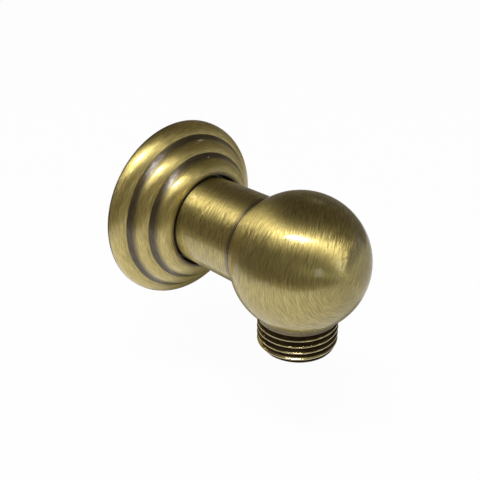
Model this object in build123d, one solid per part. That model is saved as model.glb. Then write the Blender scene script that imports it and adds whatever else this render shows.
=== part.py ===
from build123d import *
import os
from math import acos, cos, degrees, radians, sin, sqrt, tan

# Wall outlet elbow for a hand-shower hose, in millimetres.
# The neck runs along Y: the wall is the plane y = 0 and the room is on the -Y side.
# The hose thread points down, along -Z. The origin is where the neck's axis meets the wall.

# Elbow body
REACH = 45.0              # wall to the centre of the ball
BALL_DIAMETER = 35.2
NECK_DIAMETER = 24.4
NECK_EDGE = 0.5           # bevel of the neck's shoulder, at the wall
CREASE_ROUND = 0.3        # tool radius where the ball meets the neck and the hose thread
THREAD_DIAMETER = 20.955  # major diameter of the half-inch pipe thread, both ends
CHAMFER_DEPTH = 0.8       # lead-in of each threaded end, across the axis
CHAMFER_LENGTH = 1.2      # and along it
OUTLET_DROP = 23.6        # centre of the ball to the end of the hose thread
INLET_LENGTH = 13.0       # wall to the end of the inlet thread
UNDERCUT_WIDTH = 2.2      # groove at the root of the inlet thread
UNDERCUT_DEPTH = 1.35
BORE_DIAMETER = 13.0      # water way
BORE_CHAMFER = 0.5        # at both mouths of the water way
DRILL_POINT = 118.0       # full angle of the drill's point, degrees

# Cover plate that slides on the neck. Each step of its face is a round bead and a hollow cove,
# and the rim is one more bead. Slopes are degrees from the plane of the wall.
PLATE_PLAY = 0.6          # radial gap between the neck and the plate's hole
LIP_LAND = 1.3            # flat ring round the hole
LIP_ROUND = 0.4           # rolled edge of the hole
STEPS = 2                 # steps between the lip and the rim
BEAD_RADIUS = 3.6
BEAD_START = 9.0          # slope where a bead starts
BEAD_END = 70.0           # slope where it runs into its cove
COVE_RADIUS = 4.3
COVE_END = 40.5           # slope at the foot of a cove
RIM_LAND = 0.5            # straight edge that meets the wall
PLATE_WALL = 1.7          # thickness over the hollow back
COLLAR_WALL = 2.7         # thickness of the guide collar round the hole
COLLAR_LENGTH = 7.0       # guide collar, from the lip towards the wall

# Rubber ring in the plate's hole
RING_CORD = 2.0           # diameter of its section
RING_DEPTH = 2.4          # lip to the middle of the ring
RING_CLEARANCE = 0.08     # ring to neck, radial
GROOVE_CLEARANCE = 0.05   # ring to groove, all round

BALL_R = BALL_DIAMETER / 2
NECK_R = NECK_DIAMETER / 2
THREAD_R = THREAD_DIAMETER / 2
THREAD_END_R = THREAD_R - CHAMFER_DEPTH
BORE_R = BORE_DIAMETER / 2

# Half sections are drawn with x as the radius. On the neck's axis y is the height off the wall,
# and on the outlet's axis y is the height above the centre of the ball.
WALL_SECTION = Plane(origin=(0, 0, 0), x_dir=(1, 0, 0), z_dir=(0, 0, -1))
OUTLET_SECTION = Plane(origin=(0, -REACH, 0), x_dir=(1, 0, 0), z_dir=(0, -1, 0))
NECK_AXIS = Axis.Y
OUTLET_AXIS = Axis((0, -REACH, 0), (0, 0, 1))


def neck_and_ball():
    """Inlet thread blank, undercut, neck and ball, turned in one."""
    meet_angle = acos(NECK_R / BALL_R)
    meet_height = REACH - BALL_R * sin(meet_angle)
    undercut_r = THREAD_R - UNDERCUT_DEPTH
    shank = Polyline(
        (0, REACH + BALL_R),
        (0, -INLET_LENGTH),
        (THREAD_END_R, -INLET_LENGTH),
        (THREAD_R, CHAMFER_LENGTH - INLET_LENGTH),
        (THREAD_R, -UNDERCUT_WIDTH - UNDERCUT_DEPTH),
        (undercut_r, -UNDERCUT_WIDTH),
        (undercut_r, 0),
        (NECK_R - NECK_EDGE, 0),
        (NECK_R, NECK_EDGE),
        (NECK_R, meet_height),
    )
    ball = CenterArc((0, REACH), BALL_R, -degrees(meet_angle), 90 + degrees(meet_angle))
    section = make_face(shank + ball)
    crease = section.vertices().sort_by_distance((NECK_R, meet_height))[0]
    return revolve(WALL_SECTION * fillet(crease, CREASE_ROUND), NECK_AXIS, 360)


def hose_spigot():
    """Plain blank of the hose thread, from the centre of the ball down, with its rounded root on the ball."""
    root_r = THREAD_R + CREASE_ROUND
    root_height = -sqrt((BALL_R + CREASE_ROUND) ** 2 - root_r**2)
    turn = degrees(acos(root_r / (BALL_R + CREASE_ROUND)))
    root = CenterArc((root_r, root_height), CREASE_ROUND, 180 - turn, turn)
    blank = Polyline(
        root @ 1,
        (THREAD_R, CHAMFER_LENGTH - OUTLET_DROP),
        (THREAD_END_R, -OUTLET_DROP),
        (0, -OUTLET_DROP),
        (0, 0),
        root @ 0,
    )
    return revolve(OUTLET_SECTION * make_face(root + blank), OUTLET_AXIS, 360)


def drilled(mouth, bottom, point):
    """Half section of a drilled bore: chamfered mouth, straight wall and drill point."""
    section = Polyline(
        (0, mouth),
        (BORE_R + BORE_CHAMFER, mouth),
        (BORE_R, mouth + BORE_CHAMFER),
        (BORE_R, bottom),
        (0, bottom + point),
        close=True,
    )
    return make_face(section)


def water_way():
    """The inlet bore, drilled to the outlet's far side, and the outlet bore that meets it."""
    point = BORE_R / tan(radians(DRILL_POINT / 2))
    inlet = revolve(WALL_SECTION * drilled(-INLET_LENGTH, REACH + BORE_R, point), NECK_AXIS, 360)
    outlet = revolve(OUTLET_SECTION * drilled(-OUTLET_DROP, 0, 0), OUTLET_AXIS, 360)
    return inlet + outlet


def elbow_body():
    return neck_and_ball() + hose_spigot() - water_way()


# Places on the plate's section that its pieces share
LEAN = radians(BEAD_START)
STEEP = radians(BEAD_END)
FOOT = radians(COVE_END)
STEP_OUT = BEAD_RADIUS * (sin(STEEP) - sin(LEAN)) + COVE_RADIUS * (sin(STEEP) - sin(FOOT))
STEP_DOWN = BEAD_RADIUS * (cos(LEAN) - cos(STEEP)) + COVE_RADIUS * (cos(FOOT) - cos(STEEP))
HOLE_R = NECK_R + PLATE_PLAY
LIP_R = HOLE_R + LIP_LAND
PLATE_HEIGHT = RIM_LAND + BEAD_RADIUS * cos(LEAN) + STEPS * STEP_DOWN
RIM_R = LIP_R + STEPS * STEP_OUT + BEAD_RADIUS * (1 - sin(LEAN))
COLLAR_R = HOLE_R + COLLAR_WALL
COLLAR_END = PLATE_HEIGHT - COLLAR_LENGTH
RING_R = NECK_R + RING_CLEARANCE + RING_CORD / 2
RING_HEIGHT = PLATE_HEIGHT - RING_DEPTH


def bead_centre(step):
    """Centre of the bead that starts below the given number of steps."""
    r = LIP_R + step * STEP_OUT - BEAD_RADIUS * sin(LEAN)
    height = PLATE_HEIGHT - step * STEP_DOWN - BEAD_RADIUS * cos(LEAN)
    return r, height


def plate_face():
    """Front of the plate's section, from the hole to the rim."""
    bead_way = (cos(LEAN), -sin(LEAN))
    lip = JernArc((HOLE_R, PLATE_HEIGHT - LIP_ROUND), (0, 1), LIP_ROUND, -90)
    lines = [lip, Line(lip @ 1, (LIP_R, PLATE_HEIGHT))]
    for _ in range(STEPS):
        bead = JernArc(lines[-1] @ 1, bead_way, BEAD_RADIUS, BEAD_START - BEAD_END)
        cove = JernArc(bead @ 1, bead % 1, COVE_RADIUS, BEAD_END - COVE_END)
        lines += [bead, cove]
    rim = JernArc(lines[-1] @ 1, bead_way, BEAD_RADIUS, BEAD_START - 90)
    return lines + [rim, Line(rim @ 1, (RIM_R, 0))]


def plate_back():
    """Back of the plate's section, from the rim to the hole: rounds under the beads, then the collar."""
    round_r = BEAD_RADIUS - PLATE_WALL
    lines = [Line((RIM_R, 0), (RIM_R - PLATE_WALL, 0))]
    for step in range(STEPS, 0, -1):
        r, height = bead_centre(step)
        foot = lines[-1] @ 1
        if step < STEPS:
            lines.append(Line(foot, (r + round_r, foot.Y)))
        riser = Line(lines[-1] @ 1, (r + round_r, height))
        lines += [riser, JernArc(riser @ 1, (0, 1), round_r, 90)]
    roof = lines[-1] @ 1
    collar = Polyline(
        roof,
        (COLLAR_R, roof.Y),
        (COLLAR_R, COLLAR_END),
        (HOLE_R, COLLAR_END),
        (HOLE_R, PLATE_HEIGHT - LIP_ROUND),
    )
    return lines + list(collar.edges())


def escutcheon():
    section = make_face(Wire(plate_face() + plate_back()))
    groove_size = RING_CORD + 2 * GROOVE_CLEARANCE
    groove = Pos(RING_R, RING_HEIGHT) * Rectangle(groove_size, groove_size)
    return revolve(WALL_SECTION * (section - groove), NECK_AXIS, 360)


def escutcheon_o_ring():
    section = Pos(RING_R, RING_HEIGHT) * Circle(RING_CORD / 2)
    return revolve(WALL_SECTION * section, NECK_AXIS, 360)


os.makedirs("parts", exist_ok=True)
export_step(elbow_body(), "parts/elbow_body.step")
export_step(escutcheon(), "parts/escutcheon.step")
export_step(escutcheon_o_ring(), "parts/escutcheon_o_ring.step")
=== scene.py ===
from math import acos, cos, hypot, pi, radians, sin, sqrt, tan

import bmesh
import bpy
from mathutils import Matrix, Vector


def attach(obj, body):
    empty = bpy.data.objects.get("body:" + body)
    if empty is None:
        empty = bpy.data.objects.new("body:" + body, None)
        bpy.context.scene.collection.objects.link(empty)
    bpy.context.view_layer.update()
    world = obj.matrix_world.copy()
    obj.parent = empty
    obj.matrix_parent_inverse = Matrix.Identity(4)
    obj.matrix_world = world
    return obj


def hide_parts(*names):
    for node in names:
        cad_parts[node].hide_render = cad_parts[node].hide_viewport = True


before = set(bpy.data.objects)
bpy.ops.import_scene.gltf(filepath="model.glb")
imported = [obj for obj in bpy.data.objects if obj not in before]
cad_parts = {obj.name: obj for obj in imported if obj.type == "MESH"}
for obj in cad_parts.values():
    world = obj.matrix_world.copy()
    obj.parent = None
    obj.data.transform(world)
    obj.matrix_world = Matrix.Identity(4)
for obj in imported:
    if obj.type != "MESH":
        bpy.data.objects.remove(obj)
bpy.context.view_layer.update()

# Wall outlet elbow in antique brass. Sizes are in millimetres and follow the solids:
# the wall is y = 0, the neck runs along -Y into the room and the hose thread points down, along -Z.
MM = 0.001

# Elbow body
REACH = 45.0              # wall to the centre of the ball
BALL_R = 17.6
NECK_R = 12.2
NECK_EDGE = 0.5           # bevel of the neck's shoulder, at the wall
CREASE_ROUND = 0.3        # where the ball meets the neck and the hose thread
THREAD_R = 10.4775        # crests of the half-inch pipe thread
CHAMFER_DEPTH = 0.8       # lead-in of each threaded end, across the axis
CHAMFER_LENGTH = 1.2      # and along it
OUTLET_DROP = 23.6        # centre of the ball to the end of the hose thread
INLET_LENGTH = 13.0       # wall to the end of the inlet thread
UNDERCUT_WIDTH = 2.2      # groove at the root of the inlet thread
UNDERCUT_DEPTH = 1.35
BORE_R = 6.5              # water way
BORE_CHAMFER = 0.5
DRILL_POINT = 118.0       # full angle of the drill's point, degrees

# Pipe thread: 14 turns to the inch, 55 degree flanks, round crests and roots
PITCH = 25.4 / 14
FLANK = radians(27.5)
CREST_ROUND = 0.1373 * PITCH
THREAD_DEPTH = 0.6403 * PITCH
COLLAR_DROP = 15.05       # centre of the ball to where the hose thread starts
HOSE_CREST_DROP = 16.7    # centre of the ball to the first crest, on the side that faces the room
HOSE_CREST_TURN = 225.0   # and that side's angle round the outlet, degrees from +X
RUN_OUT = 0.5             # length over which a thread comes to its full depth

# Cover plate: each step of its face is a round bead and a hollow cove, and the rim is one more bead
HOLE_R = 12.8
LIP_R = 14.1              # where the flat ring round the hole ends
LIP_ROUND = 0.4
STEPS = 2
BEAD_RADIUS = 3.6
BEAD_START = radians(9.0)
BEAD_END = radians(70.0)
COVE_RADIUS = 4.3
COVE_END = radians(40.5)
RIM_LAND = 0.5            # straight edge that meets the wall
PLATE_WALL = 1.7
COLLAR_R = 15.5           # guide collar behind the hole
COLLAR_LENGTH = 7.0

# Rubber ring in the plate's hole
RING_CORD = 2.0
RING_DEPTH = 2.4          # lip to the middle of the ring
RING_CLEARANCE = 0.08     # ring to neck
GROOVE_CLEARANCE = 0.05   # ring to groove

# Fineness of the turned meshes
SPOKES = 192              # points round an axis
ARC_STEP = 0.12           # along the small rounds of a section
BALL_STEP = 0.42          # along the ball
THREAD_STEP = 0.07        # along a thread
NECK_STEP = 0.8           # along the neck and its shoulder
COLLAR_STEP = 0.3         # between the ball and the hose thread
FLAT_STEP = 1.0           # on flat and conical ends
INLET_BORE_STEP = 2.0
OUTLET_BORE_STEP = 1.5
SAME_POINT = 1e-4         # points closer than this are one
TOUCH = 0.01              # slack when a face is told by its place
SKIN = 0.1                # faces deeper in the ball than this are in a bore
SHARP_ANGLE = radians(32)

STEP_OUT = BEAD_RADIUS * (sin(BEAD_END) - sin(BEAD_START)) + COVE_RADIUS * (sin(BEAD_END) - sin(COVE_END))
STEP_DOWN = BEAD_RADIUS * (cos(BEAD_START) - cos(BEAD_END)) + COVE_RADIUS * (cos(COVE_END) - cos(BEAD_END))
PLATE_HEIGHT = RIM_LAND + BEAD_RADIUS * cos(BEAD_START) + STEPS * STEP_DOWN
RIM_R = LIP_R + STEPS * STEP_OUT + BEAD_RADIUS * (1 - sin(BEAD_START))
RING_R = NECK_R + RING_CLEARANCE + RING_CORD / 2
RING_HEIGHT = PLATE_HEIGHT - RING_DEPTH


def arc(centre, radius, start, end, step=ARC_STEP):
    """Points of an arc in a half section, from one angle to another."""
    count = max(2, round(radius * abs(end - start) / step))
    turns = [start + (end - start) * i / count for i in range(count + 1)]
    return [(centre[0] + radius * cos(t), centre[1] + radius * sin(t)) for t in turns]


def straight(start, end, step):
    """Points of a straight line in a half section."""
    count = max(1, round(hypot(end[0] - start[0], end[1] - start[1]) / step))
    shares = [i / count for i in range(count + 1)]
    return [(start[0] + (end[0] - start[0]) * s, start[1] + (end[1] - start[1]) * s) for s in shares]


def chain(*stretches):
    """Joins stretches of a section, leaving out points that fall on the one before."""
    points = []
    for stretch in stretches:
        for point in stretch:
            if not points or hypot(point[0] - points[-1][0], point[1] - points[-1][1]) > SAME_POINT:
                points.append(point)
    return points


def off_wall(r, turn, height):
    """A turned point on the neck's axis, its height measured off the wall."""
    return Vector((r * cos(turn), -height, r * sin(turn))) * MM


def below_ball(r, turn, height):
    """A turned point on the outlet's axis, its height measured from the centre of the ball."""
    return Vector((r * cos(turn), r * sin(turn) - REACH, height)) * MM


def turned(name, section, place, closed=False, groove=None):
    """A mesh turned from a half section: a ring if it is closed, or else from axis to axis."""
    mesh = bpy.data.meshes.new(name)
    build = bmesh.new()
    turns = [2 * pi * i / SPOKES for i in range(SPOKES)]
    rows = []
    for r, height in section:
        if r < SAME_POINT:
            rows.append([build.verts.new(place(0, 0, height))] * SPOKES)
            continue
        reaches = [groove(r, turn, height) if groove else r for turn in turns]
        rows.append([build.verts.new(place(reach, turn, height)) for reach, turn in zip(reaches, turns)])
    pairs = list(zip(rows, rows[1:]))
    if closed:
        pairs.append((rows[-1], rows[0]))
    for low, high in pairs:
        for i in range(SPOKES):
            j = (i + 1) % SPOKES
            corners = list(dict.fromkeys([low[i], low[j], high[j], high[i]]))
            build.faces.new(corners)
    bmesh.ops.recalc_face_normals(build, faces=build.faces)
    build.to_mesh(mesh)
    build.free()
    made = bpy.data.objects.new(name, mesh)
    bpy.context.scene.collection.objects.link(made)
    return made


def soften(piece):
    """Smooth shading, with the edges that were cut sharp kept sharp."""
    build = bmesh.new()
    build.from_mesh(piece.data)
    for face in build.faces:
        face.smooth = True
    for edge in build.edges:
        edge.smooth = len(edge.link_faces) == 2 and edge.calc_face_angle(0) < SHARP_ANGLE
    build.to_mesh(piece.data)
    build.free()


def carve(piece, tool, operation):
    """Joins a tool to a piece or cuts it away, and deletes the tool."""
    cut = piece.modifiers.new("cut", "BOOLEAN")
    cut.operation = operation
    cut.solver = "EXACT"
    cut.object = tool
    result = bpy.data.meshes.new_from_object(piece.evaluated_get(bpy.context.evaluated_depsgraph_get()))
    piece.modifiers.clear()
    piece.data = result
    bpy.data.objects.remove(tool)


def thread_cut(along):
    """Depth below the crests of the pipe thread, at a distance along its axis from a crest."""
    part = along / PITCH % 1
    along = min(part, 1 - part) * PITCH
    rounded = CREST_ROUND * cos(FLANK)
    if along < rounded:
        return CREST_ROUND - sqrt(CREST_ROUND**2 - along**2)
    if along > PITCH / 2 - rounded:
        return THREAD_DEPTH - CREST_ROUND + sqrt(CREST_ROUND**2 - (PITCH / 2 - along) ** 2)
    return CREST_ROUND * (1 - sin(FLANK)) + (along - rounded) / tan(FLANK)


def hose_groove(r, turn, height):
    """Radius of the hose spigot once the right-hand thread is cut."""
    if r < THREAD_R - CHAMFER_DEPTH - TOUCH or height > -COLLAR_DROP:
        return r
    along = height + HOSE_CREST_DROP - PITCH * (turn - radians(HOSE_CREST_TURN)) / (2 * pi)
    share = min(1.0, (-COLLAR_DROP - height) / RUN_OUT)
    return min(r, THREAD_R - thread_cut(along) * share)


def inlet_groove(r, turn, height):
    """Radius of the inlet spigot once the right-hand thread is cut."""
    if r < THREAD_R - CHAMFER_DEPTH - TOUCH or height > -UNDERCUT_WIDTH - UNDERCUT_DEPTH:
        return r
    return min(r, THREAD_R - thread_cut(height - PITCH * turn / (2 * pi)))


def neck_and_ball():
    """The turned body: ball, neck, shoulder, inlet thread and the water way drilled from the wall."""
    round_r = NECK_R + CREASE_ROUND
    round_height = REACH - sqrt((BALL_R + CREASE_ROUND) ** 2 - round_r**2)
    meet = acos(round_r / (BALL_R + CREASE_ROUND))
    undercut_r = THREAD_R - UNDERCUT_DEPTH
    thread_start = (THREAD_R, -UNDERCUT_WIDTH - UNDERCUT_DEPTH)
    thread_end = (THREAD_R, CHAMFER_LENGTH - INLET_LENGTH)
    bore_mouth = (BORE_R, BORE_CHAMFER - INLET_LENGTH)
    bore_end = (BORE_R, REACH + BORE_R)
    drill_tip = (0, REACH + BORE_R + BORE_R / tan(radians(DRILL_POINT / 2)))
    section = chain(
        arc((0, REACH), BALL_R, pi / 2, -meet, BALL_STEP),
        arc((round_r, round_height), CREASE_ROUND, pi - meet, pi, ARC_STEP / 2),
        straight((NECK_R, round_height), (NECK_R, NECK_EDGE), NECK_STEP),
        straight((NECK_R - NECK_EDGE, 0), (undercut_r, 0), NECK_STEP),
        straight((undercut_r, 0), (undercut_r, -UNDERCUT_WIDTH), NECK_STEP / 2),
        straight(thread_start, thread_end, THREAD_STEP),
        straight(thread_end, (THREAD_R - CHAMFER_DEPTH, -INLET_LENGTH), THREAD_STEP),
        straight((BORE_R + BORE_CHAMFER, -INLET_LENGTH), bore_mouth, FLAT_STEP),
        straight(bore_mouth, bore_end, INLET_BORE_STEP),
        straight(bore_end, drill_tip, FLAT_STEP),
    )
    section[0] = (0, REACH + BALL_R)
    section[-1] = drill_tip
    return turned("elbow_body", section, off_wall, groove=inlet_groove)


SPIGOT_TOP = -BORE_R - 1.0  # height at which the spigot starts, inside the ball
SPIGOT_SINK = 0.02          # how far its rounded root starts under the ball's skin, for a clean cut


def hose_spigot():
    """The hose thread with its rounded root, from inside the ball down."""
    end_r = THREAD_R - CHAMFER_DEPTH
    root_r = THREAD_R + CREASE_ROUND
    reach = BALL_R - SPIGOT_SINK + CREASE_ROUND
    root_height = -sqrt(reach**2 - root_r**2)
    meet = acos(root_r / reach)
    thread_start = (THREAD_R, -COLLAR_DROP)
    thread_end = (THREAD_R, CHAMFER_LENGTH - OUTLET_DROP)
    section = chain(
        straight((0, SPIGOT_TOP), (THREAD_R, SPIGOT_TOP), FLAT_STEP),
        arc((root_r, root_height), CREASE_ROUND, pi - meet, pi, ARC_STEP / 2),
        straight((THREAD_R, root_height), thread_start, COLLAR_STEP),
        straight(thread_start, thread_end, THREAD_STEP),
        straight(thread_end, (end_r, -OUTLET_DROP), THREAD_STEP),
        straight((end_r, -OUTLET_DROP), (0, -OUTLET_DROP), FLAT_STEP),
    )
    return turned("hose_spigot", section, below_ball, groove=hose_groove)


def outlet_drill():
    """What the drill takes out of the spigot and the ball, down to the middle of the inlet's bore."""
    past_end = -BORE_CHAMFER - OUTLET_DROP
    section = chain(
        [(0, 0)],
        straight((BORE_R, 0), (BORE_R, BORE_CHAMFER - OUTLET_DROP), OUTLET_BORE_STEP),
        [(BORE_R + 2 * BORE_CHAMFER, past_end), (0, past_end)],
    )
    return turned("outlet_drill", section, below_ball)


def bead_centre(step):
    """Centre of the bead that starts below the given number of steps."""
    r = LIP_R + step * STEP_OUT - BEAD_RADIUS * sin(BEAD_START)
    return r, PLATE_HEIGHT - step * STEP_DOWN - BEAD_RADIUS * cos(BEAD_START)


def cove_centre(step):
    """Centre of the cove below the bead of that step: it lies across the point where the two meet."""
    r, height = bead_centre(step)
    apart = BEAD_RADIUS + COVE_RADIUS
    return r + apart * sin(BEAD_END), height + apart * cos(BEAD_END)


def cover_plate():
    """The stepped plate: lip, beads and coves in front, hollow back, collar and ring groove behind."""
    lip = PLATE_HEIGHT - LIP_ROUND
    front = [arc((HOLE_R + LIP_ROUND, lip), LIP_ROUND, pi, pi / 2, ARC_STEP / 2)]
    for step in range(STEPS):
        front.append(arc(bead_centre(step), BEAD_RADIUS, pi / 2 - BEAD_START, pi / 2 - BEAD_END))
        front.append(arc(cove_centre(step), COVE_RADIUS, -pi / 2 - BEAD_END, -pi / 2 - COVE_END))
    front.append(arc(bead_centre(STEPS), BEAD_RADIUS, pi / 2 - BEAD_START, 0))
    inner = BEAD_RADIUS - PLATE_WALL
    back = [[(RIM_R, 0), (RIM_R - PLATE_WALL, 0)]]
    for step in range(STEPS, 0, -1):
        r, height = bead_centre(step)
        back.append([(r + inner, back[-1][-1][1])])
        back.append(arc((r, height), inner, 0, pi / 2, 2 * ARC_STEP))
    roof = back[-1][-1][1]
    collar_end = PLATE_HEIGHT - COLLAR_LENGTH
    back.append([(COLLAR_R, roof), (COLLAR_R, collar_end), (HOLE_R, collar_end)])
    half = RING_CORD / 2 + GROOVE_CLEARANCE
    floor = RING_R + half
    low, high = RING_HEIGHT - half, RING_HEIGHT + half
    back.append([(HOLE_R, low), (floor, low), (floor, high), (HOLE_R, high)])
    return turned("escutcheon", chain(*front, *back), off_wall, closed=True)


def rubber_ring():
    """The ring in the plate's hole, a round cord."""
    section = arc((RING_R, RING_HEIGHT), RING_CORD / 2, 0, 2 * pi)[:-1]
    return turned("escutcheon_o_ring", section, off_wall, closed=True)


def linear(code):
    """sRGB hex to linear colour."""
    parts = [int(code[i:i + 2], 16) / 255 for i in (0, 2, 4)]
    return [p / 12.92 if p <= 0.04045 else ((p + 0.055) / 1.055) ** 2.4 for p in parts] + [1.0]


def toward(azimuth, elevation):
    """Unit vector: azimuth 0 is the room side, positive towards +X."""
    a, e = radians(azimuth), radians(elevation)
    return Vector((sin(a) * cos(e), -cos(a) * cos(e), sin(e)))


def add(tree, kind, inputs=None, out=0, **settings):
    """Adds one shader node and returns one of its outputs. Inputs are values or other nodes' outputs."""
    made = tree.nodes.new("ShaderNode" + kind)
    for name, value in settings.items():
        setattr(made, name, value)
    for slot, value in (inputs or {}).items():
        if isinstance(value, bpy.types.NodeSocket):
            tree.links.new(value, made.inputs[slot])
        else:
            made.inputs[slot].default_value = value
    return made if out is None else made.outputs[out]


def new_material(name):
    """An empty material and its node tree."""
    made = bpy.data.materials.new(name)
    made.use_nodes = True
    made.node_tree.nodes.clear()
    return made, made.node_tree


def surface_point(tree, centre):
    """The point on the surface, in millimetres from a centre."""
    place = add(tree, "TexCoord", out="Object")
    apart = add(tree, "VectorMath", {0: place, 1: Vector(centre) * MM}, operation="SUBTRACT")
    return add(tree, "VectorMath", {0: apart, "Scale": 1 / MM}, operation="SCALE")


# Brass, bronzed dark, brushed back by hand and lacquered. Each pair is the colour between the brush lines
# and on them.
BRASS = ("A39459", "DFCC82")
BRASS_SATIN = ("B4A463", "F6E190")    # the plate was brushed further back
BRASS_RUBBED = ("B9AB79", "F6E6B0")   # crests of the threads, rubbed bare
BRONZE = ("574C3C", "857659")         # what the brush left of the bronzing
BRONZE_GROOVE = ("3C3320", "6E5B38")  # and what stayed in the threads
BRONZE_BATH = ("4A3F2E", "6E5E44")    # where no brush reached: the two ends of its clouds
BATH_CLOUDS = (0.35, 0.65)            # the noise between which those ends lie
BATH_ROUGHNESS = 0.42

CLOUD = 7.0                # size of uneven patches
GRIT_LINE = 0.11           # grit lines are about 0.05 mm wide; they are drawn wider so that they show
GRIT_STROKE = 2.4          # and this long
GRIT_WANDER = 0.8          # how far the lines wander off their course, over patches of CLOUD size
GRIT_TONES = (0.37, 0.63)  # the noise between which the colour goes from between the lines to on them
GRIT_MIDDLE = (0.5, 0.5, 0.5)  # mean of the noise
LATHE_AXIS = (0, -1, 0)    # the neck and the plate were brushed turning round it
QUARTER_TURN = 0.25        # highlights are drawn out across the lines


def grit_lines(tree, point, across):
    """Brush lines: fine across, where the given distance runs, and long the other way."""
    wander = add(tree, "TexNoise", {"Vector": point, "Scale": 1 / CLOUD, "Detail": 1.0})
    across = add(tree, "Math", {0: wander, 1: GRIT_WANDER, 2: across}, operation="MULTIPLY_ADD")
    fine = add(tree, "Math", {0: across, 1: GRIT_STROKE / GRIT_LINE}, operation="MULTIPLY")
    inputs = {"Vector": point, "W": fine, "Scale": 1 / GRIT_STROKE, "Detail": 2.0, "Roughness": 0.6}
    return add(tree, "TexNoise", inputs, out="Color", noise_dimensions="4D")


def lacquered_brass(tree, point, axis, grit, brass, bronze, patina_and_shade, roughness, lacquer, *,
                    anisotropy, sway, relief, gloss, lean=0.0):
    """Ends a material as lacquered brass, brushed round an axis.

    The brushing draws every highlight out across its lines, the bronzing stays in the hollows as dark
    brown, painted shade is mixed in the same way, and the clear lacquer, which follows the lines, lays a
    second, sharper reflection over both.
    The strokes sway to and fro and lean by some degrees from straight round. Relief is the height of
    the lines in the metal, lacquer their height in the lacquer, and gloss the lacquer's own roughness.
    """
    height = add(tree, "SeparateXYZ", {0: grit})
    tone = add(tree, "MapRange", {"Value": height, 1: GRIT_TONES[0], 2: GRIT_TONES[1]})
    bare, dark = [
        add(tree, "Mix", {0: tone, 6: linear(between), 7: linear(on)}, out=2, data_type="RGBA")
        for between, on in (brass, bronze)
    ]
    colour = add(tree, "Mix", {0: patina_and_shade, 6: bare, 7: dark}, out=2, data_type="RGBA")
    swing = add(tree, "VectorMath", {0: grit, 1: GRIT_MIDDLE}, operation="SUBTRACT")
    swing = add(tree, "VectorMath", {0: swing, 1: (sway, sway, sway), 2: axis}, operation="MULTIPLY_ADD")
    tangent = add(tree, "VectorMath", {0: swing, 1: point}, operation="CROSS_PRODUCT")
    tangent = add(tree, "VectorMath", {0: tangent}, operation="NORMALIZE")
    shader = add(tree, "BsdfPrincipled", {
        "Base Color": colour, "Metallic": 1.0, "Roughness": roughness,
        "Normal": add(tree, "Bump", {"Strength": 1.0, "Distance": relief * MM, "Height": height}),
        "Anisotropic": anisotropy, "Anisotropic Rotation": QUARTER_TURN + lean / 360, "Tangent": tangent,
        "Coat Weight": 1.0, "Coat Roughness": gloss,
        "Coat Normal": add(tree, "Bump", {"Strength": 1.0, "Distance": lacquer, "Height": height}),
    })
    add(tree, "OutputMaterial", {"Surface": shader}, out=None)


# The neck and the ball's shoulder were brushed in the lathe. The rest of the ball was brushed by hand in
# two passes, each round its own axis: over the top, with coarse grit as in the lathe, and round the
# underside, with fine grit. Azimuth and elevation in degrees.
TOP_PASS = (40.0, -15.0)
UNDER_PASS = (-10.0, 10.0)
PASSES_MEET = (5.0, 11.0)    # heights over the middle of the ball between which one fades into the other
LATHE_MEETS = (-10.5, 6.5)   # distances from the middle towards the wall over which the lathe takes over
POLE_BRUSHED = (0.5, 0.15)   # round its pole, between these angles, the under pass was brushed over
CREASE_DARKENING = (2.4, 0.1)   # darkening of the neck's corner, from nothing to full, off the crease
COVERED_NECK_SHADE = (-0.1, 0.3)   # the neck is unbrushed behind the plate's lip, over this line, and painted dark there as the shade in the gap
GRIT_HEIGHTS = (1.0, 1.6)    # fine grit and coarse grit: how tall the lines are, as shares
BRUSHED_ROUGHNESS = (0.38, 0.53)
BRUSHED_LACQUER = (0.004, 0.018)
NECK_ROUGHNESS = 0.49
NECK_LACQUER = 0.002         # the lacquer ran smooth on the neck


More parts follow.
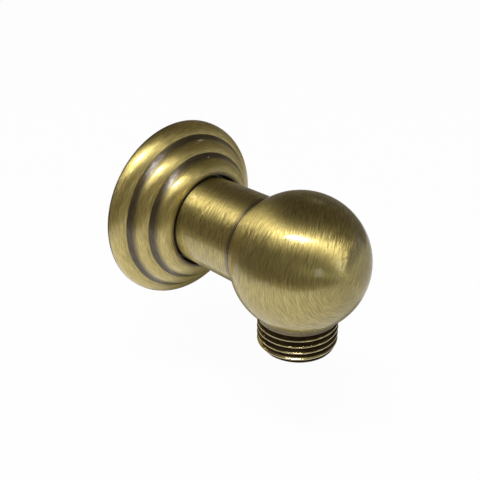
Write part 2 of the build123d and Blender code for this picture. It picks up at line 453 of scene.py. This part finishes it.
def brushed_brass():
    """Neck and ball: the neck brushed in the lathe, the ball by hand in two passes.

    Streaks of light lie across the brush lines and change course where one pass meets the next.
    """
    material, tree = new_material("bronzed_brass_brushed")
    point = surface_point(tree, (0, -REACH, 0))
    way = add(tree, "VectorMath", {0: point}, operation="NORMALIZE")
    place = add(tree, "SeparateXYZ", {0: point}).node.outputs
    crease = sqrt(BALL_R**2 - NECK_R**2)
    near = {"Value": place["Y"], 1: LATHE_MEETS[0], 2: LATHE_MEETS[1]}
    lathe = add(tree, "MapRange", near, interpolation_type="SMOOTHSTEP")
    over = {"Value": place["Z"], 1: PASSES_MEET[0], 2: PASSES_MEET[1]}
    top = add(tree, "MapRange", over, interpolation_type="SMOOTHSTEP")
    passes = []
    for axis in (toward(*TOP_PASS), toward(*UNDER_PASS)):
        polar = add(tree, "VectorMath", {0: way, 1: axis}, out="Value", operation="DOT_PRODUCT")
        polar = add(tree, "Math", {0: polar}, operation="ARCCOSINE")
        across = add(tree, "Math", {0: polar, 1: BALL_R}, operation="MULTIPLY")
        passes.append(grit_lines(tree, point, across))
    pole = {"Value": polar, 1: POLE_BRUSHED[0], 2: POLE_BRUSHED[1]}
    pole = add(tree, "MapRange", pole, interpolation_type="SMOOTHSTEP")
    top_lines = add(tree, "Math", {0: top, 1: pole}, operation="MAXIMUM")
    lathe_lines = grit_lines(tree, point, place["Y"])
    grit = add(tree, "Mix", {0: top_lines, 6: passes[1], 7: passes[0]}, out=2, data_type="RGBA")
    grit = add(tree, "Mix", {0: lathe, 6: grit, 7: lathe_lines}, out=2, data_type="RGBA")
    by_hand = {0: top, 4: toward(*UNDER_PASS), 5: toward(*TOP_PASS)}
    axis = add(tree, "Mix", by_hand, out=1, data_type="VECTOR")
    axis = add(tree, "Mix", {0: lathe, 4: axis, 5: LATHE_AXIS}, out=1, data_type="VECTOR")
    neck = add(tree, "Math", {0: place["Y"], 1: crease + CREASE_ROUND / 2}, operation="GREATER_THAN")
    # the neck is made darker towards its crease with the ball
    corner = {"Value": place["Y"], 1: crease + CREASE_DARKENING[0], 2: crease + CREASE_DARKENING[1], 4: neck}
    patina_and_shade = add(tree, "MapRange", corner, interpolation_type="SMOOTHSTEP")
    lip = REACH - PLATE_HEIGHT
    # painted shade: the neck behind the lip is darkened like bronzing, for the shade in the gap round it
    covered_shade = {"Value": place["Y"], 1: lip + COVERED_NECK_SHADE[0], 2: lip + COVERED_NECK_SHADE[1]}
    covered_shade = add(tree, "MapRange", covered_shade)
    patina_and_shade = add(tree, "Math", {0: patina_and_shade, 1: covered_shade}, operation="MAXIMUM")
    coarse = add(tree, "Math", {0: top, 1: lathe}, operation="MAXIMUM")
    fine_to_coarse = {"Value": coarse, 3: BRUSHED_ROUGHNESS[0], 4: BRUSHED_ROUGHNESS[1]}
    roughness = add(tree, "MapRange", fine_to_coarse)
    roughness = add(tree, "Mix", {0: neck, 2: roughness, 3: NECK_ROUGHNESS})
    fine_to_coarse = {"Value": coarse, 3: BRUSHED_LACQUER[0] * MM, 4: BRUSHED_LACQUER[1] * MM}
    lacquer = add(tree, "MapRange", fine_to_coarse)
    lacquer = add(tree, "Mix", {0: neck, 2: lacquer, 3: NECK_LACQUER * MM})
    tall = add(tree, "MapRange", {"Value": coarse, 3: GRIT_HEIGHTS[0], 4: GRIT_HEIGHTS[1]})
    grit = add(tree, "VectorMath", {0: grit, 1: GRIT_MIDDLE}, operation="SUBTRACT")
    grit = add(tree, "VectorMath", {0: grit, 1: tall, 2: GRIT_MIDDLE}, operation="MULTIPLY_ADD")
    lacquered_brass(tree, point, axis, grit, BRASS, BRONZE, patina_and_shade, roughness, lacquer,
                    anisotropy=0.92, sway=0.6, relief=0.03, gloss=0.06)
    return material


# Bronzing that the brush left on the plate, with painted shade round the hole and a darker rim edge: where
# each starts and where it is full
HOLE_BRONZE_AND_SHADE = (LIP_R + 0.2, HOLE_R + LIP_ROUND / 2)  # radii round the hole: bronzing with painted shade from the neck and the gap
COVE_BRONZE = (-0.5, 0.5)                            # outwards from the end of a bead
COVE_FOOT = (0.12, -0.05)                            # outwards from the foot of a cove
RIM_DARKENING = (1.5 * RIM_LAND, 0.7 * RIM_LAND)        # heights off the wall over which the rim's edge goes darker
SATIN_ROUGHNESS = (0.45, 0.62)                       # brushed bare, and left bronzed
SATIN_LACQUER = (0.014, 0.035)


def satin_brass():
    """Cover plate, brushed in the lathe with a brush that moved outwards, so that its lines lean.

    The beads are pale, with soft, slanting streaks. The coves, out of the brush's reach, are dark rings.
    """
    material, tree = new_material("bronzed_brass_satin")
    point = surface_point(tree, (0, 0, 0))
    along = add(tree, "SeparateXYZ", {0: point}, out="Y")
    spoke = add(tree, "VectorMath", {0: point, 1: (1, 0, 1)}, operation="MULTIPLY")
    radius = add(tree, "VectorMath", {0: spoke}, out="Value", operation="LENGTH")
    grit = grit_lines(tree, point, add(tree, "Math", {0: radius, 1: along}, operation="ADD"))
    # painted shade round the hole, laid on like bronzing
    hole = {0: radius, 1: HOLE_BRONZE_AND_SHADE[0], 2: HOLE_BRONZE_AND_SHADE[1]}
    patina_and_shade = add(tree, "MapRange", hole, interpolation_type="SMOOTHSTEP")
    for step in range(STEPS):
        start = bead_centre(step)[0] + BEAD_RADIUS * sin(BEAD_END)
        rise = {0: radius, 1: start + COVE_BRONZE[0], 2: start + COVE_BRONZE[1]}
        rise = add(tree, "MapRange", rise, interpolation_type="SMOOTHSTEP")
        end = LIP_R + (step + 1) * STEP_OUT
        fall = {0: radius, 1: end + COVE_FOOT[0], 2: end + COVE_FOOT[1]}
        fall = add(tree, "MapRange", fall, interpolation_type="SMOOTHSTEP")
        patina_and_shade = add(tree, "Math", {0: rise, 1: fall, 2: patina_and_shade}, operation="MULTIPLY_ADD")
    # the rim's edge, next to the wall, is made darker
    rim = {0: along, 1: -RIM_DARKENING[0], 2: -RIM_DARKENING[1]}
    rim = add(tree, "MapRange", rim, interpolation_type="SMOOTHSTEP")
    patina_and_shade = add(tree, "Math", {0: patina_and_shade, 1: rim}, operation="MAXIMUM")
    roughness = add(tree, "MapRange", {"Value": patina_and_shade, 3: SATIN_ROUGHNESS[0], 4: SATIN_ROUGHNESS[1]})
    lacquer = add(tree, "MapRange", {"Value": patina_and_shade, 3: SATIN_LACQUER[0] * MM, 4: SATIN_LACQUER[1] * MM})
    lacquered_brass(tree, point, LATHE_AXIS, grit, BRASS_SATIN, BRONZE, patina_and_shade, roughness, lacquer,
                    anisotropy=0.82, sway=1.0, relief=0.04, gloss=0.12, lean=17.0)
    return material


CREST_BARE = (0.04, 0.16)    # depths below the crests over which the bronzing of a thread sets in
LAST_CREST = (2.4, 1.56)     # before the thread's end, between these distances,
LAST_CREST_DEPTH = 0.48      # the bare edge comes to reach this much deeper
COLLAR_DARKENING = 0.9          # darkening of the collar over the hose thread, up to this share
BARE_END = 0.03              # the end face is bare, and this much of the lead-in
THREAD_ROUGHNESS = 0.22
THREAD_LACQUER = 0.002


def threaded_brass(name, axis, end):
    """A cut thread: the bronzing stays in its grooves, and the crests, the last most, are rubbed bright."""
    material, tree = new_material(name)
    point = surface_point(tree, (0, -REACH, 0))
    flat = Vector((1, 1, 1)) - Vector(axis)
    spoke = add(tree, "VectorMath", {0: point, 1: flat}, operation="MULTIPLY")
    radius = add(tree, "VectorMath", {0: spoke}, out="Value", operation="LENGTH")
    along = add(tree, "VectorMath", {0: point, 1: axis}, out="Value", operation="DOT_PRODUCT")
    along = add(tree, "Math", {0: along}, operation="ABSOLUTE")
    last = {0: along, 1: end - LAST_CREST[0], 2: end - LAST_CREST[1]}
    crest = add(tree, "MapRange", last | {3: THREAD_R, 4: THREAD_R - LAST_CREST_DEPTH})
    depth = add(tree, "Math", {0: crest, 1: radius}, operation="SUBTRACT")
    grit = grit_lines(tree, point, along)
    groove = {0: depth, 1: CREST_BARE[0], 2: CREST_BARE[1]}
    patina_and_shade = add(tree, "MapRange", groove, interpolation_type="SMOOTHSTEP")
    # the collar just under the ball is made darker
    collar = {0: along, 1: COLLAR_DROP + PITCH / 2, 2: COLLAR_DROP, 4: COLLAR_DARKENING}
    collar = add(tree, "MapRange", collar, interpolation_type="SMOOTHSTEP")
    patina_and_shade = add(tree, "Math", {0: patina_and_shade, 1: collar}, operation="MAXIMUM")
    before_end = add(tree, "Math", {0: along, 1: end - BARE_END}, operation="LESS_THAN")
    patina_and_shade = add(tree, "Math", {0: patina_and_shade, 1: before_end}, operation="MULTIPLY")
    lacquer = THREAD_LACQUER * MM
    lacquered_brass(tree, point, axis, grit, BRASS_RUBBED, BRONZE_GROOVE, patina_and_shade, THREAD_ROUGHNESS, lacquer,
                    anisotropy=0.5, sway=0.5, relief=0.006, gloss=0.08)
    return material


def unbrushed_brass():
    """Brass as it came out of the bronzing bath: an uneven dark brown, where no brush reached."""
    material, tree = new_material("bronzed_brass_unbrushed")
    point = surface_point(tree, (0, 0, 0))
    clouds = add(tree, "TexNoise", {"Vector": point, "Scale": 1 / CLOUD, "Detail": 4.0})
    clouds = add(tree, "MapRange", {"Value": clouds, 1: BATH_CLOUDS[0], 2: BATH_CLOUDS[1]})
    ends = {0: clouds, 6: linear(BRONZE_BATH[0]), 7: linear(BRONZE_BATH[1])}
    colour = add(tree, "Mix", ends, out=2, data_type="RGBA")
    metal = {"Base Color": colour, "Metallic": 1.0, "Roughness": BATH_ROUGHNESS}
    add(tree, "OutputMaterial", {"Surface": add(tree, "BsdfPrincipled", metal)}, out=None)
    return material


RUBBER = ("121212", "242424")
RUBBER_GRAIN = 0.3         # size of the mould's grain
RUBBER_ROUGHNESS = 0.6


def moulded_rubber():
    """Nitrile rubber as moulded: black, matt and slightly uneven."""
    material, tree = new_material("nitrile_rubber_moulded")
    point = surface_point(tree, (0, 0, 0))
    grain = add(tree, "TexNoise", {"Vector": point, "Scale": 1 / RUBBER_GRAIN, "Detail": 2.0})
    ends = {0: grain, 6: linear(RUBBER[0]), 7: linear(RUBBER[1])}
    colour = add(tree, "Mix", ends, out=2, data_type="RGBA")
    rubber = {"Base Color": colour, "Roughness": RUBBER_ROUGHNESS}
    add(tree, "OutputMaterial", {"Surface": add(tree, "BsdfPrincipled", rubber)}, out=None)
    return material


# Finishes of the elbow body, in the order of its materials
BRUSHED, HOSE_THREAD, INLET_THREAD, DRILLED = range(4)


def finish_at(centre):
    """Which finish a face of the elbow body has, by its place."""
    x, y, z = centre / MM
    from_inlet, from_outlet, from_ball = hypot(x, z), hypot(x, y + REACH), hypot(x, y + REACH, z)
    in_inlet = from_inlet < BORE_R + TOUCH and y > -REACH - 2 * BORE_R
    in_outlet = from_outlet < BORE_R + TOUCH and -OUTLET_DROP + TOUCH < z < 0
    under_skin = from_ball < BALL_R - SKIN or y > -REACH + BALL_R or z < -BALL_R
    if under_skin and (in_inlet or in_outlet):
        return DRILLED
    if y > TOUCH:
        return INLET_THREAD
    if z < -BORE_R and from_ball > BALL_R + TOUCH and from_outlet < THREAD_R + CREASE_ROUND:
        return HOSE_THREAD
    return BRUSHED


def elbow(unbrushed):
    """The elbow body with its finishes."""
    piece = neck_and_ball()
    carve(piece, hose_spigot(), "UNION")
    carve(piece, outlet_drill(), "DIFFERENCE")
    soften(piece)
    hose_thread = threaded_brass("bronzed_brass_hose_thread", (0, 0, 1), OUTLET_DROP)
    inlet_thread = threaded_brass("bronzed_brass_inlet_thread", (0, 1, 0), REACH + INLET_LENGTH)
    piece.data.materials.clear()
    for finish in (brushed_brass(), hose_thread, inlet_thread, unbrushed):
        piece.data.materials.append(finish)
    for face in piece.data.polygons:
        face.material_index = finish_at(face.center)
    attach(piece, "elbow")
    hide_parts("elbow_body")


def plate(unbrushed):
    """The cover plate: satin in front of the middle of its rolled lip, unbrushed in the hole and behind."""
    piece = cover_plate()
    soften(piece)
    piece.data.materials.append(satin_brass())
    piece.data.materials.append(unbrushed)
    faces = piece.data.polygons
    lip_row = round(LIP_ROUND * pi / ARC_STEP) // 2
    inside_rim = (RIM_R - PLATE_WALL / 4) * MM
    at_rim = [face.index for face in faces if hypot(face.center.x, face.center.z) > inside_rim]
    rim_row = max(at_rim) // SPOKES
    for face in faces:
        face.material_index = not lip_row <= face.index // SPOKES <= rim_row
    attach(piece, "cover_plate")
    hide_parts("escutcheon")


def ring():
    """The rubber ring, which slides along with the plate."""
    piece = rubber_ring()
    soften(piece)
    piece.data.materials.append(moulded_rubber())
    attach(piece, "cover_plate")
    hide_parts("escutcheon_o_ring")


# Studio. Directions are azimuth and elevation in degrees, seen from the ball.
FLOOR_DROP = 60.0         # ball to the floor
FLOOR_SIZE = 8000.0
PAPER = "F6F6F6"
PAPER_PALER = (-0.75, 0.66, 0.0)      # the way in which the paper's mirrored glow is painted paler, a painted fall of light
PAPER_FALL = (-200.0, 60.0)           # distances that way between which that painted light falls off
PAPER_DIM = 0.3                       # and its share of light at the dim end
PAPER_PAINTED_SHADE = (34.0, -2.0, 0.0)       # middle of the object's shadow, painted into the paper's mirrored glow
PAPER_SHADE_TURN = radians(22)        # how far the shade's long way turns from Y
PAPER_SHADE_SHAPE = (1.0, 0.45, 0.0)  # its width and length, as shares that even them out
PAPER_SHADE_EDGE = (26.0, 36.0)       # half its width, where it is full and where it ends
PAPER_SHADE_DEEP = 0.03               # share of light in its middle
PAPER_SEEN = 0.97                     # glow of the paper as the camera sees it
PAPER_MIRRORED = 0.75                 # and as the brass mirrors it

SET_TURN = -55.0          # the set's front, on the camera's side
BOARD_FOOT = 1 - FLOOR_DROP  # boards stand round the set, just off the floor
BOARD_TOP = 78.0          # and at these distances from the ball
BOARD_FRONT, BOARD_LEFT, BOARD_BACK, BOARD_RIGHT = 196.0, 198.0, 260.0, 300.0
FELT, CARD, WINDOW = "746E62", "B4B6B2", "DCE6E6"
# Windows: their ends, in front of the ball and to its right, their heights over it and their light
WINDOW_LEFT = {"start": (160, 82), "end": (141, 113), "low": 16, "high": 52, "strength": 2.2}
WINDOW_RIGHT = {"start": (79, 162), "end": (62, 169), "low": 12, "high": 58, "strength": 3.0}

KEY = (-60.0, 64.0)       # long, narrow soft box, its long way near that of the neck
KEY_DISTANCE = 1500.0
KEY_LONG, KEY_WIDE = 750.0, 130.0
KEY_RUN = (0.52, -0.82, -0.22)
KEY_LIGHT = 2.35          # light that it throws on the ball
LAMP = "FFF4E0"
LAMP_DISTANCE, LAMP_SIZE, LAMP_STRENGTH = 900.0, 20.0, 40.0
LAMP_BACK, LAMP_FRONT = (115.0, 35.5), (-4.0, 51.0)

ROOM_LOW = "F4F4F2"       # the room is pale low down
ROOM_DIM = "534E44"       # and dim above,
ROOM_PALE = "746E62"      # less so towards one side
ROOM_SIDE = (-50.0, 15.0)
ROOM_SIDE_FADE = (-0.2, 0.8)
ROOM_RISE = (5.0, 15.0)   # elevations between which it goes from pale to dim
BACKDROP = "FDFDFD"       # what the camera sees behind the floor


def paper_floor():
    """White paper, which takes the object's shadow.

    Mirrored in the brass, its glow is painted dimmer to the right and painted dark in the object's shade.
    """
    material, tree = new_material("paper_white_matt")
    point = surface_point(tree, (0, 0, 0))
    fall = add(tree, "VectorMath", {0: point, 1: PAPER_PALER}, out="Value", operation="DOT_PRODUCT")
    fall = add(tree, "MapRange", {0: fall, 1: PAPER_FALL[0], 2: PAPER_FALL[1], 3: PAPER_DIM, 4: 1.0})
    apart = add(tree, "VectorMath", {0: point, 1: PAPER_PAINTED_SHADE}, operation="SUBTRACT")
    turned_back = {"Vector": apart, "Angle": -PAPER_SHADE_TURN}
    apart = add(tree, "VectorRotate", turned_back, rotation_type="Z_AXIS")
    apart = add(tree, "VectorMath", {0: apart, 1: PAPER_SHADE_SHAPE}, operation="MULTIPLY")
    apart = add(tree, "VectorMath", {0: apart}, out="Value", operation="LENGTH")
    shade = {0: apart, 1: PAPER_SHADE_EDGE[0], 2: PAPER_SHADE_EDGE[1], 3: PAPER_SHADE_DEEP, 4: 1.0}
    shade = add(tree, "MapRange", shade, interpolation_type="SMOOTHSTEP")
    # painted light: the fall of light and the object's shadow are painted into the glow that the brass
    # mirrors
    level = add(tree, "Math", {0: fall, 1: shade}, operation="MULTIPLY")
    path = add(tree, "LightPath").node.outputs
    level = add(tree, "Math", {0: level, 1: path["Is Camera Ray"]}, operation="MAXIMUM")
    mirrors = {0: path["Is Glossy Ray"], 1: path["Is Transmission Ray"]}
    share = add(tree, "Math", mirrors, operation="MAXIMUM")
    share = add(tree, "Math", {0: share, 1: PAPER_MIRRORED}, operation="MULTIPLY")
    seen = {0: path["Is Camera Ray"], 1: PAPER_SEEN, 2: share}
    share = add(tree, "Math", seen, operation="MULTIPLY_ADD")
    paper = add(tree, "BsdfDiffuse", {"Color": linear(PAPER)})
    glow = add(tree, "Emission", {"Strength": level})
    both = add(tree, "MixShader", {0: share, 1: paper, 2: glow})
    add(tree, "OutputMaterial", {"Surface": both}, out=None)
    half = FLOOR_SIZE / 2
    corners = [(-half, -half), (half, -half), (half, half), (-half, half)]
    mesh = bpy.data.meshes.new("floor")
    mesh.from_pydata([Vector((x, y, -FLOOR_DROP)) * MM for x, y in corners], [], [(0, 1, 2, 3)])
    mesh.materials.append(material)
    floor = bpy.data.objects.new("floor", mesh)
    bpy.context.scene.collection.objects.link(floor)


def set_board(name, colour, start, end, low=BOARD_FOOT, high=BOARD_TOP, strength=1.0):
    """An upright board on the set, out of the camera's sight, that glows with its colour: a painted
    reflection for the brass to mirror.
    """
    material, tree = new_material(name)
    glow = add(tree, "Emission", {"Color": linear(colour), "Strength": strength})
    add(tree, "OutputMaterial", {"Surface": glow}, out=None)
    corners = []
    for height, ends in ((low, (start, end)), (high, (end, start))):
        for front, right in ends:
            place = toward(SET_TURN, 0) * front + toward(SET_TURN + 90, 0) * right
            corners.append((place + Vector((0, -REACH, height))) * MM)
    mesh = bpy.data.meshes.new(name)
    mesh.from_pydata(corners, [], [(0, 1, 2, 3)])
    mesh.materials.append(material)
    board = bpy.data.objects.new(name, mesh)
    bpy.context.scene.collection.objects.link(board)
    board.visible_camera = False
    board.visible_diffuse = False
    board.visible_shadow = False


def room_lamp(name, azimuth, elevation):
    """A small bright lamp far off in the room, which the lacquer mirrors as a speck."""
    turn, rise = radians(azimuth - SET_TURN), radians(elevation)
    front, right = LAMP_DISTANCE * cos(rise) * cos(turn), LAMP_DISTANCE * cos(rise) * sin(turn)
    over, aside, half = LAMP_DISTANCE * sin(rise), (-sin(turn), cos(turn)), LAMP_SIZE / 2
    start, end = [(front + s * half * aside[0], right + s * half * aside[1]) for s in (-1, 1)]
    set_board(name, LAMP, start, end, over - half, over + half, LAMP_STRENGTH)


def key_light():
    """The soft box, high on the camera's left."""
    key = bpy.data.lights.new("key", "AREA")
    key.shape = "RECTANGLE"
    key.size, key.size_y = KEY_LONG * MM, KEY_WIDE * MM
    key.energy = KEY_LIGHT * pi * (KEY_DISTANCE * MM) ** 2
    lamp = bpy.data.objects.new("key", key)
    back = toward(*KEY)
    side = back.cross(Vector(KEY_RUN)).normalized()
    turn = Matrix((side.cross(back), side, back)).transposed()
    place = (Vector((0, -REACH, 0)) + back * KEY_DISTANCE) * MM
    lamp.matrix_world = Matrix.Translation(place) @ turn.to_4x4()
    bpy.context.scene.collection.objects.link(lamp)


def studio_room():
    """The room round the set, pale low down and dim above."""
    world = bpy.data.worlds.new("studio")
    world.use_nodes = True
    tree = world.node_tree
    tree.nodes.clear()
    way = add(tree, "TexCoord", out="Generated")
    height = add(tree, "SeparateXYZ", {0: way}, out="Z")
    side = add(tree, "VectorMath", {0: way, 1: toward(*ROOM_SIDE)}, out="Value", operation="DOT_PRODUCT")
    side = {0: side, 1: ROOM_SIDE_FADE[0], 2: ROOM_SIDE_FADE[1]}
    side = add(tree, "MapRange", side, interpolation_type="SMOOTHSTEP")
    above = add(tree, "Mix", {0: side, 6: linear(ROOM_DIM), 7: linear(ROOM_PALE)}, out=2, data_type="RGBA")
    rise = {0: height, 1: sin(radians(ROOM_RISE[0])), 2: sin(radians(ROOM_RISE[1]))}
    rise = add(tree, "MapRange", rise, interpolation_type="SMOOTHSTEP")
    colour = add(tree, "Mix", {0: rise, 6: linear(ROOM_LOW), 7: above}, out=2, data_type="RGBA")
    seen = add(tree, "LightPath", out="Is Camera Ray")
    colour = add(tree, "Mix", {0: seen, 6: colour, 7: linear(BACKDROP)}, out=2, data_type="RGBA")
    room = add(tree, "Background", {"Color": colour, "Strength": 1.0})
    add(tree, "OutputWorld", {"Surface": room}, out=None)
    bpy.context.scene.world = world


# Camera, fitted to the outlines in the photograph
CAMERA_PLACE = Vector((-115.113, -140.837, 83.559))
CAMERA_RIGHT = Vector((0.71079, -0.70339, -0.00423))
CAMERA_UP = Vector((0.32741, 0.32553, 0.88704))
CAMERA_LENS = 52.049
CAMERA_SENSOR = 36.0
CAMERA_NEAR, CAMERA_FAR = 5.0, 50000.0


def camera():
    """The camera of the photograph."""
    data = bpy.data.cameras.new("camera")
    data.sensor_width = CAMERA_SENSOR
    data.lens = CAMERA_LENS
    data.clip_start, data.clip_end = CAMERA_NEAR * MM, CAMERA_FAR * MM
    made = bpy.data.objects.new("camera", data)
    back = CAMERA_RIGHT.cross(CAMERA_UP)
    turn = Matrix((CAMERA_RIGHT, CAMERA_UP, back)).transposed()
    made.matrix_world = Matrix.Translation(CAMERA_PLACE * MM) @ turn.to_4x4()
    bpy.context.scene.collection.objects.link(made)
    bpy.context.scene.camera = made


bpy.context.scene.view_settings.view_transform = "Standard"
bronzed = unbrushed_brass()
elbow(bronzed)
plate(bronzed)
ring()
paper_floor()
set_board("felt_front", FELT, (BOARD_FRONT, -BOARD_LEFT), (BOARD_FRONT, BOARD_RIGHT))
set_board("felt_left", FELT, (-BOARD_BACK, -BOARD_LEFT), (BOARD_FRONT, -BOARD_LEFT))
set_board("felt_back", FELT, (-BOARD_BACK, BOARD_RIGHT), (-BOARD_BACK, -BOARD_LEFT))
set_board("card_right", CARD, (BOARD_FRONT, BOARD_RIGHT), (-BOARD_BACK, BOARD_RIGHT))
set_board("window_left", WINDOW, **WINDOW_LEFT)
set_board("window_right", WINDOW, **WINDOW_RIGHT)
room_lamp("lamp_back", *LAMP_BACK)
room_lamp("lamp_front", *LAMP_FRONT)
key_light()
studio_room()
camera()
